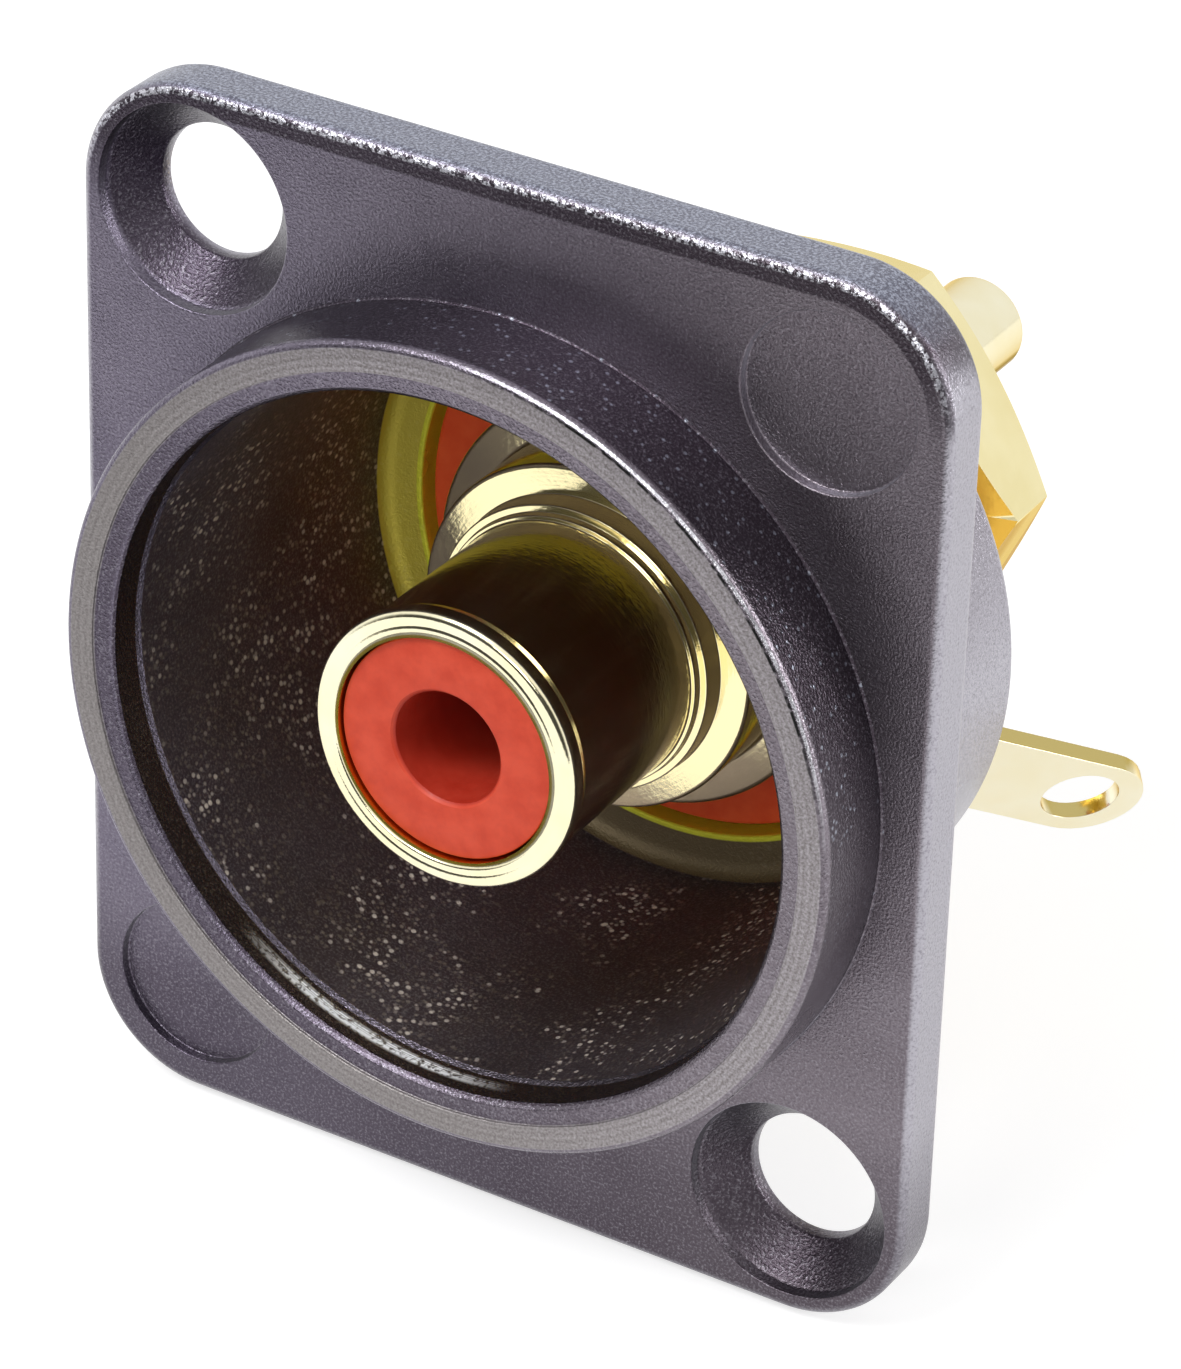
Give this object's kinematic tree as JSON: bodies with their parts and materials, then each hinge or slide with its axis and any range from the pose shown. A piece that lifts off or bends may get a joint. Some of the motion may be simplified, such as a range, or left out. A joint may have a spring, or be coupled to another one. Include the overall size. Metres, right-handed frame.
{
  "type": "rca panel socket",
  "caption": "Panel-mount phono socket: black flanged housing with a deep round cup, insulated gold jack with red core, hex nut, bent solder lug and solder cup.",
  "frame": {"origin": "on the socket's axis, in the plane of the flange's rear face, at the centre of the panel cut-out", "axes": "+Y along the socket's axis towards the solder cup, +Z along the flange's long side, +X to the right as seen from the plug's side"},
  "size_m": [0.026, 0.0298, 0.031],
  "materials": {
    "housing": "black lacquer with a fine grain, slightly glossy on the edges",
    "jack_sleeve": "polished gold plating over turned brass",
    "core_insulator": "red moulded plastic, satin face",
    "front_insulating_washer": "red moulded plastic",
    "rear_insulating_washer": "red moulded plastic",
    "solder_lug": "gold-plated sheet, bright",
    "hex_nut": "polished gold plating over milled brass",
    "centre_contact": "polished gold plating over turned brass"
  },
  "bodies": {
    "root": {"housing": "housing", "jack_sleeve": "jack_sleeve", "core_insulator": "core_insulator", "front_insulating_washer": "front_insulating_washer", "rear_insulating_washer": "rear_insulating_washer", "solder_lug": "solder_lug", "hex_nut": "hex_nut", "centre_contact": "centre_contact"}
  },
  "joints": []
}
